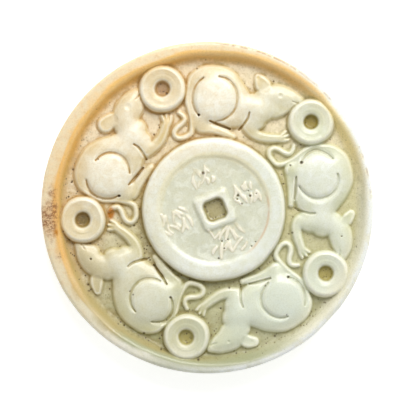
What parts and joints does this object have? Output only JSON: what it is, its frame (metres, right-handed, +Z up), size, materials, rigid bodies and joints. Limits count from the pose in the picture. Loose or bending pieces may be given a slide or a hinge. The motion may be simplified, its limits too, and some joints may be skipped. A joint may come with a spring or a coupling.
{
  "type": "carved jade roundel",
  "caption": "Round jade plaque carved in low relief: rats run clockwise round a large coin with a square recess, each nosing a small drilled coin, inside a plain raised rim.",
  "frame": {"origin": "middle of the flat underside, which is the middle of the bounding box's bottom", "axes": "+Z up out of the carved face, +Y towards the top of the design as pictured, +X to its right"},
  "size_m": [0.1, 0.1, 0.012],
  "materials": {
    "jade": "polished pale celadon jade with cream and tan skin, russet specks and fine dark pits"
  },
  "bodies": {
    "root": {"jade_roundel": "jade"}
  },
  "joints": []
}
